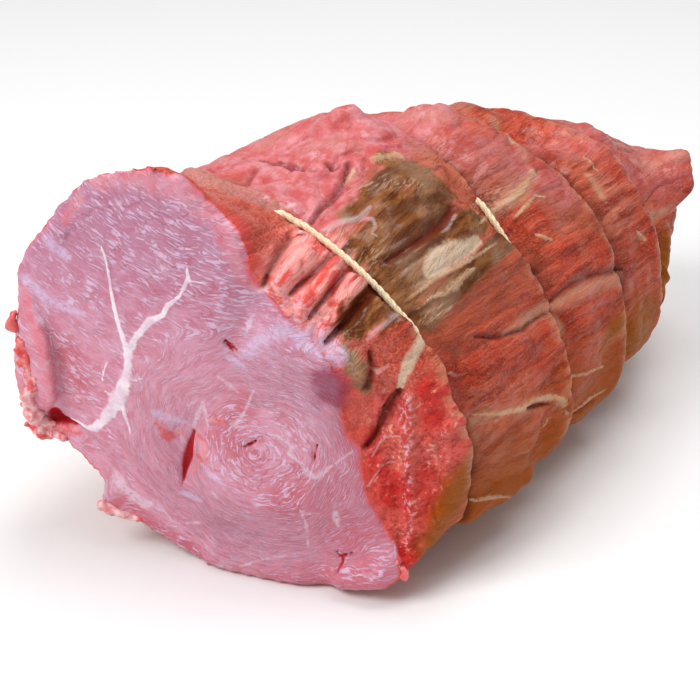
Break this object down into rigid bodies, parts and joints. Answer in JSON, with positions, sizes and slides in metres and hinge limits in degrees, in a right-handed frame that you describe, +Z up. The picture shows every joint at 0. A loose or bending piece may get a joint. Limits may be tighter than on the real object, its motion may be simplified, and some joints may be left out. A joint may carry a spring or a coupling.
{
  "type": "tied beef fillet joint",
  "caption": "Raw tied beef joint lying on its flattened underside, cut square to its length at one end and tapering to a folded tail, drawn into lobes by loops of twine",
  "frame": {"origin": "on the surface it lies on, below the middle of the joint", "axes": "+Y runs along the joint from the cut face to the tail, +Z is up, +X is the side with the cut face's low corner"},
  "size_m": [0.1194, 0.2156, 0.1115],
  "materials": {
    "meat": "moist raw muscle, half gloss, pink on the cut face and darker red to brown outside",
    "twine": "damp matt cotton twine"
  },
  "bodies": {
    "root": {"meat": "meat", "string_tie_1": "twine", "string_tie_2": "twine", "string_tie_3": "twine", "string_tie_4": "twine"}
  },
  "joints": []
}
